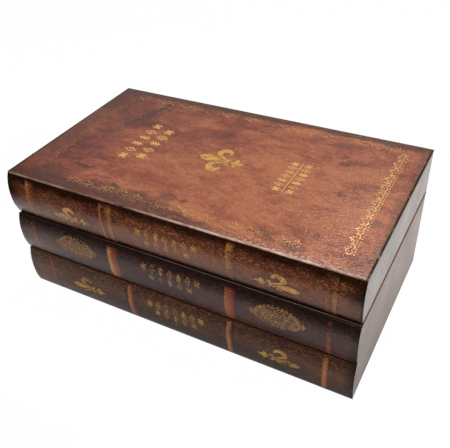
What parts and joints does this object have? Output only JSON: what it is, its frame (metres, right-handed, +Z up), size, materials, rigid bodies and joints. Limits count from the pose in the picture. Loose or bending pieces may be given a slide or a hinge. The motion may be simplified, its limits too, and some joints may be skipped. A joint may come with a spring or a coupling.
{
  "type": "decorative book box",
  "caption": "Keepsake box made to look like a pile of old leather-bound books, whose top book is a lid that opens on hinges at the back.",
  "frame": {"origin": "middle of the underside, on the surface that the box stands on: halfway between the two ends, and halfway between the fold line of the lid cover and the back papers", "axes": "+X along the spines, -Y towards the spine side, +Z up"},
  "size_m": [0.3006, 0.1787, 0.1176],
  "materials": {
    "fibreboard": "raw sawn fibreboard, hidden",
    "cover_leather": "mottled red-brown leatherette, satin, gilt tooling, darkened edges",
    "middle_leather": "near-black leatherette, satin, gilt tooling",
    "lower_leather": "dark brown leatherette, satin, gilt tooling",
    "rim_leather": "brown leatherette, satin",
    "end_paper": "grey-brown matt paper",
    "velvet": "dark red velvet",
    "felt": "dark brown felt",
    "brass": "antique brass",
    "pin_brass": "darker antique brass"
  },
  "bodies": {
    "base": {"base_floor_board": "fibreboard", "base_front_board": "fibreboard", "base_back_board": "fibreboard", "base_left_board": "fibreboard", "base_right_board": "fibreboard", "lower_spine_moulding": "fibreboard", "middle_spine_moulding": "fibreboard", "middle_spine_leather": "middle_leather", "lower_spine_leather": "lower_leather", "base_rim": "rim_leather", "base_left_end_paper": "end_paper", "base_right_end_paper": "end_paper", "base_back_paper": "end_paper", "base_floor_lining": "velvet", "base_front_lining": "velvet", "base_back_lining": "velvet", "base_left_lining": "velvet", "base_right_lining": "velvet", "underside_felt": "felt", "left_hinge_base_leaf": "brass", "left_hinge_base_screw_1": "brass", "left_hinge_base_screw_2": "brass", "right_hinge_base_leaf": "brass", "right_hinge_base_screw_1": "brass", "right_hinge_base_screw_2": "brass", "left_hinge_pin": "pin_brass", "right_hinge_pin": "pin_brass"},
    "lid": {"lid_top_board": "fibreboard", "lid_front_board": "fibreboard", "lid_back_board": "fibreboard", "lid_left_board": "fibreboard", "lid_right_board": "fibreboard", "lid_spine_moulding": "fibreboard", "lid_cover_leather": "cover_leather", "lid_rim": "rim_leather", "lid_left_end_paper": "end_paper", "lid_right_end_paper": "end_paper", "lid_back_paper": "end_paper", "lid_top_lining": "velvet", "lid_front_lining": "velvet", "lid_back_lining": "velvet", "lid_left_lining": "velvet", "lid_right_lining": "velvet", "left_hinge_lid_leaf": "brass", "left_hinge_lid_screw_1": "brass", "left_hinge_lid_screw_2": "brass", "right_hinge_lid_leaf": "brass", "right_hinge_lid_screw_1": "brass", "right_hinge_lid_screw_2": "brass"}
  },
  "joints": [
    {"name": "lid_hinge", "type": "hinge", "parent": "base", "child": "lid", "pos_m": [0, 0.0866, 0.0771], "axis": [-1, 0, 0], "range_deg": [0, 100]}
  ]
}
